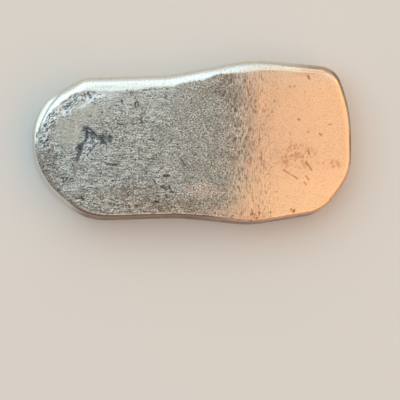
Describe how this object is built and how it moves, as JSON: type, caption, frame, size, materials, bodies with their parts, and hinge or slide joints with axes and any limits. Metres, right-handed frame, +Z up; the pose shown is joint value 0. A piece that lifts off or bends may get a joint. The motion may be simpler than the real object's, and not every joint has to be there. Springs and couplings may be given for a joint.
{
  "type": "cast silver bar",
  "caption": "Small hand-poured silver bar with a shoe-sole outline, a rounded poured shoulder and a grainy as-cast face.",
  "frame": {"origin": "on the flat mould side that it rests on, under the middle of the bar", "axes": "+X along the bar towards its wide end, +Y across it towards the side with the wide shoulder, +Z up out of the poured face"},
  "size_m": [0.056, 0.0288, 0.0075],
  "materials": {
    "cast_silver": "as-cast silver, fine matt grain with slight tarnish"
  },
  "bodies": {
    "root": {"silver_bar": "cast_silver"}
  },
  "joints": []
}
